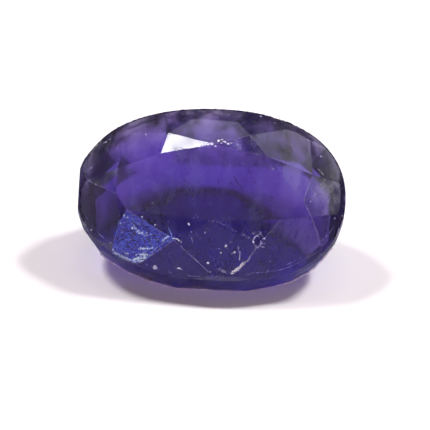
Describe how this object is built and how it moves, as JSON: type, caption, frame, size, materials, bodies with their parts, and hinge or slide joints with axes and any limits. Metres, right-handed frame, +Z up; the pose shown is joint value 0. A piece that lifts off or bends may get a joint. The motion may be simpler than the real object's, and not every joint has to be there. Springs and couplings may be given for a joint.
{
  "type": "iolite gemstone",
  "caption": "Oval faceted iolite, a see-through violet-blue stone with a low crown, a thin rim and a bellied pavilion, lying tilted on a flat pavilion facet.",
  "frame": {"origin": "centre of the stone's plan outline, on the surface that the stone rests on", "axes": "+X along the stone's length towards its rounder right end, +Y towards the raised side of the girdle, +Z up; the table leans 28 degrees towards -Y"},
  "size_m": [0.012, 0.0082, 0.0053],
  "materials": {
    "iolite": "clear violet-blue crystal, polished facets with worn edges and a frosted girdle"
  },
  "bodies": {
    "root": {"iolite_gem": "iolite"}
  },
  "joints": []
}
